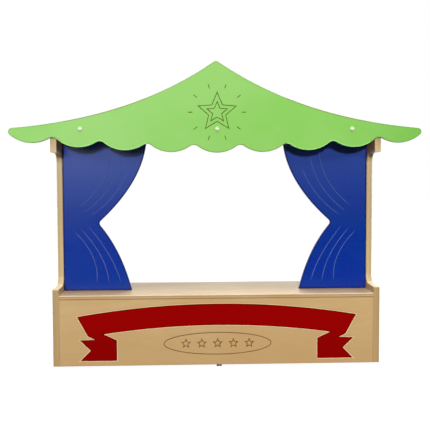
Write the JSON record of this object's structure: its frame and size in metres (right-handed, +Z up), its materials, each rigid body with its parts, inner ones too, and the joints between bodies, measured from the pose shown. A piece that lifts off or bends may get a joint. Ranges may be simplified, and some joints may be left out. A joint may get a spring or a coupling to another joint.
{
  "type": "puppet theater stand",
  "caption": "Tabletop puppet theater of screwed wood board: C-shaped side panels, ribboned front, shelf, draped curtain boards and a scalloped tent roof.",
  "frame": {"origin": "middle of the footprint of the whole part, on the table top under the glides", "axes": "+X to the right as the audience sees the stage, +Y from the audience to the puppeteer, +Z up"},
  "size_m": [1.204, 0.265, 0.8987],
  "materials": {
    "clear_wood": "satin clear lacquer",
    "green_lacquer": "satin paint",
    "blue_lacquer": "satin paint",
    "red_lacquer": "satin paint",
    "screw_steel": "zinc plated",
    "brown_cap": "moulded",
    "white_cap": "moulded",
    "dowel_wood": "raw beech"
  },
  "bodies": {
    "root": {"left_side_panel": "clear_wood", "right_side_panel": "clear_wood", "front_panel": "clear_wood", "shelf": "clear_wood", "top_board": "clear_wood", "roof_panel": "green_lacquer", "left_curtain": "blue_lacquer", "right_curtain": "blue_lacquer", "ribbon_inlay": "red_lacquer", "side_screw_1": "screw_steel", "side_screw_2": "screw_steel", "side_screw_3": "screw_steel", "side_screw_4": "screw_steel", "side_screw_5": "screw_steel", "side_screw_6": "screw_steel", "side_screw_7": "screw_steel", "side_screw_8": "screw_steel", "side_screw_9": "screw_steel", "side_screw_10": "screw_steel", "side_screw_11": "screw_steel", "side_screw_12": "screw_steel", "side_screw_cap_1": "brown_cap", "side_screw_cap_2": "brown_cap", "side_screw_cap_3": "brown_cap", "side_screw_cap_4": "brown_cap", "side_screw_cap_5": "brown_cap", "side_screw_cap_6": "brown_cap", "side_screw_cap_7": "brown_cap", "side_screw_cap_8": "brown_cap", "side_screw_cap_9": "brown_cap", "side_screw_cap_10": "brown_cap", "side_screw_cap_11": "brown_cap", "side_screw_cap_12": "brown_cap", "curtain_screw_1": "screw_steel", "curtain_screw_2": "screw_steel", "curtain_screw_3": "screw_steel", "curtain_screw_4": "screw_steel", "curtain_screw_5": "screw_steel", "curtain_screw_6": "screw_steel", "curtain_screw_7": "screw_steel", "curtain_screw_8": "screw_steel", "roof_screw_1": "screw_steel", "roof_screw_2": "screw_steel", "roof_screw_3": "screw_steel", "roof_screw_cap_1": "white_cap", "roof_screw_cap_2": "white_cap", "roof_screw_cap_3": "white_cap", "dowel_1": "dowel_wood", "dowel_2": "dowel_wood", "dowel_3": "dowel_wood", "side_glide_1": "brown_cap", "side_glide_2": "brown_cap", "side_glide_3": "brown_cap", "side_glide_4": "brown_cap", "middle_glide_1": "brown_cap", "middle_glide_2": "brown_cap"}
  },
  "joints": []
}
